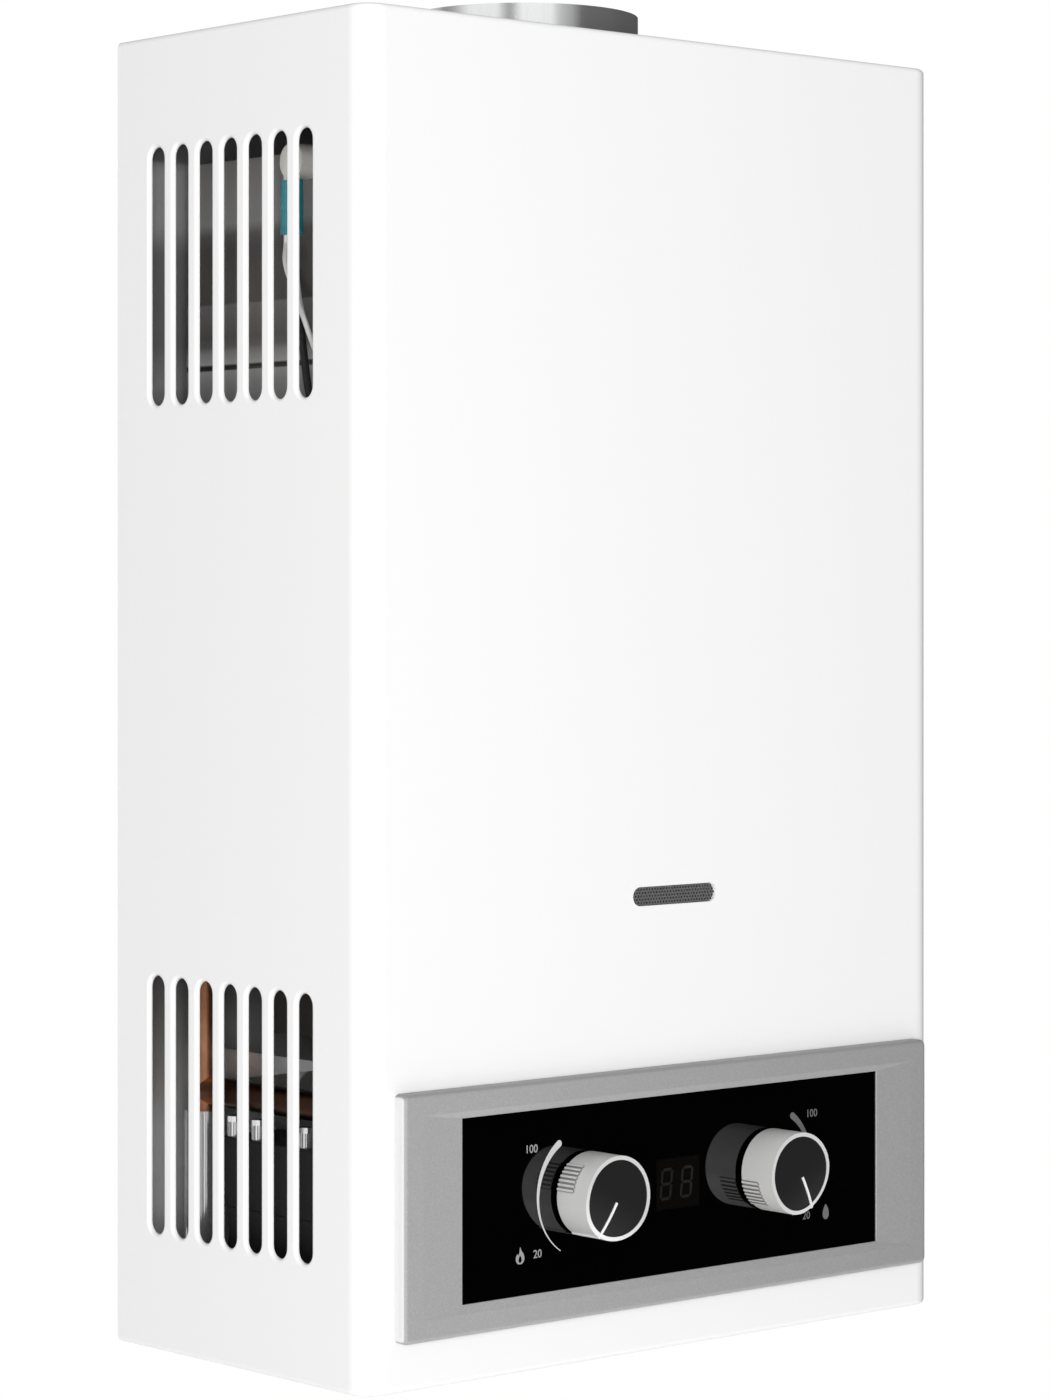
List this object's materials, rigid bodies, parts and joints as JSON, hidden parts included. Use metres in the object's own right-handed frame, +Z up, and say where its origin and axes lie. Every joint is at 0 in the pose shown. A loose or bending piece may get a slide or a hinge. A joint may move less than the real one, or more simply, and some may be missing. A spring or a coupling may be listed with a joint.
{
  "type": "wall-hung gas water heater",
  "caption": "Flat white wall-hung instantaneous gas water heater with a round flue spigot, slotted sides, a flame window and a dark control panel with two knobs.",
  "frame": {"origin": "centre of the four wall holes, on the wall plane behind the wall plate", "axes": "+X to the right seen from the front, +Y into the wall, +Z up"},
  "size_m": [0.35, 0.205, 0.614],
  "materials": {
    "white_enamel": "smooth gloss enamel",
    "galvanised_sheet": "galvanised",
    "silver_moulding": "satin silver paint",
    "black_glass": "polished",
    "display_block": "polished",
    "knob_aluminium": "satin anodised",
    "knob_black": "fine texture",
    "pointer_white": "smooth",
    "bright_steel": "bright",
    "copper": "drawn copper, slightly tarnished",
    "brass": "machined",
    "cast_zinc": "die cast",
    "porcelain": "glazed",
    "black_plastic": "fine texture",
    "diaphragm_rubber": "smooth",
    "teal_plastic": "smooth",
    "white_insulation": "smooth",
    "black_insulation": "braided",
    "zinc_screws": "zinc plated",
    "copper_winding": "enamelled wire under tape"
  },
  "bodies": {
    "heater": {"front_casing": "white_enamel", "back_plate": "galvanised_sheet", "bottom_plate": "galvanised_sheet", "window_mesh": "bright_steel", "control_frame": "silver_moulding", "fascia": "black_glass", "display_module": "display_block", "fixing_screws": "zinc_screws", "flue_collar": "bright_steel", "draft_hood": "galvanised_sheet", "flue_collector": "galvanised_sheet", "exchanger_shell": "copper", "exchanger_fins": "copper", "exchanger_tubes": "copper", "exchanger_elbows": "brass", "water_coil": "copper", "mounting_brackets": "galvanised_sheet", "burner_tray": "bright_steel", "burner_bars": "bright_steel", "gas_manifold": "galvanised_sheet", "gas_nozzles": "brass", "electrode_insulators": "porcelain", "electrode_rods": "bright_steel", "gas_valve_body": "cast_zinc", "solenoid_coil": "copper_winding", "gas_riser": "bright_steel", "valve_yoke": "bright_steel", "microswitch": "black_plastic", "water_valve_body": "brass", "water_valve_cover": "brass", "valve_diaphragm": "diaphragm_rubber", "valve_screws": "zinc_screws", "drain_plug": "brass", "gas_inlet": "brass", "cold_inlet": "brass", "hot_outlet": "bright_steel", "hot_pipe": "copper", "battery_box": "black_plastic", "ignition_module": "black_plastic", "module_terminals": "bright_steel", "flue_sensor": "porcelain", "sensor_boots": "teal_plastic", "flue_probe": "bright_steel", "sensor_leads": "white_insulation", "braided_lead": "black_insulation", "ignition_leads": "black_insulation", "control_leads": "white_insulation"},
    "gas_knob": {"gas_knob_sleeve": "knob_aluminium", "gas_knob_core": "knob_black", "gas_knob_pointer": "pointer_white", "gas_spindle": "brass"},
    "water_knob": {"water_knob_sleeve": "knob_aluminium", "water_knob_core": "knob_black", "water_knob_pointer": "pointer_white", "water_spindle": "brass"},
    "lid": {"battery_lid": "black_plastic"},
    "rod": {"push_rod": "bright_steel"},
    "switch_lever": {"microswitch_lever": "bright_steel"},
    "plunger": {"solenoid_plunger": "bright_steel"}
  },
  "joints": [
    {"name": "gas_knob_turn", "type": "hinge", "parent": "heater", "child": "gas_knob", "pos_m": [-0.05425, -0.19, -0.2192], "axis": [0, 1, 0], "range_deg": [0, 115]},
    {"name": "water_knob_turn", "type": "hinge", "parent": "heater", "child": "water_knob", "pos_m": [0.05845, -0.19, -0.2192], "axis": [0, -1, 0], "range_deg": [0, 115]},
    {"name": "battery_lid_swing", "type": "hinge", "parent": "heater", "child": "lid", "pos_m": [-0.11555, -0.096, -0.2972], "axis": [0, -1, 0], "range_deg": [0, 100]},
    {"name": "push_rod_slide", "type": "slide", "parent": "heater", "child": "rod", "axis": [-1, 0, 0], "range_m": [0, 0.004], "stiffness_N_per_m": 300},
    {"name": "switch_lever_swing", "type": "hinge", "parent": "heater", "child": "switch_lever", "pos_m": [-0.0043, -0.095, -0.1977], "axis": [0, 1, 0], "range_deg": [0, 15]},
    {"name": "plunger_slide", "type": "slide", "parent": "heater", "child": "plunger", "axis": [-1, 0, 0], "range_m": [0, 0.003], "stiffness_N_per_m": 300}
  ],
  "couplings": [
    {"joint": "switch_lever_swing", "follows": "push_rod_slide", "rad_per_m": 63.69}
  ]
}
